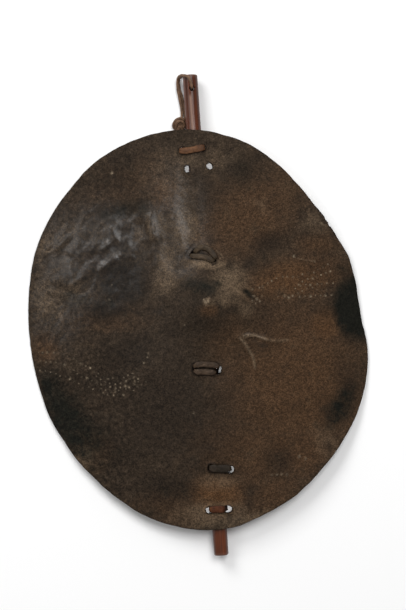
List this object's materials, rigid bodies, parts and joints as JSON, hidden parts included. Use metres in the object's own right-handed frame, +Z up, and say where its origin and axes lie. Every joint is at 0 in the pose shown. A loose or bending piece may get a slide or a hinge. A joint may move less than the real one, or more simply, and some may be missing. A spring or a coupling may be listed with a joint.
{
  "type": "hide shield",
  "caption": "Oval domed rawhide shield with a boss over its grip, thong-lashed to a straight wooden stick with a hanging loop, lying face up.",
  "frame": {"origin": "middle of the box round the shield without its hanging thong, on the surface it lies on", "axes": "+Y along the stick towards its pierced end, +Z up out of the shield's face, +X to the right seen from above"},
  "size_m": [0.5623, 0.8038, 0.0718],
  "materials": {
    "rawhide": "satin",
    "polished_wood": "polished",
    "dark_thong": "worn",
    "brown_thong": "worn"
  },
  "bodies": {
    "root": {"hide": "rawhide", "stick": "polished_wood", "lashing_top": "brown_thong", "lashing_upper_grip": "dark_thong", "lashing_lower_grip": "dark_thong", "lashing_lower": "dark_thong", "lashing_bottom": "brown_thong", "hanging_thong": "brown_thong", "thong_knot": "brown_thong"}
  },
  "joints": []
}
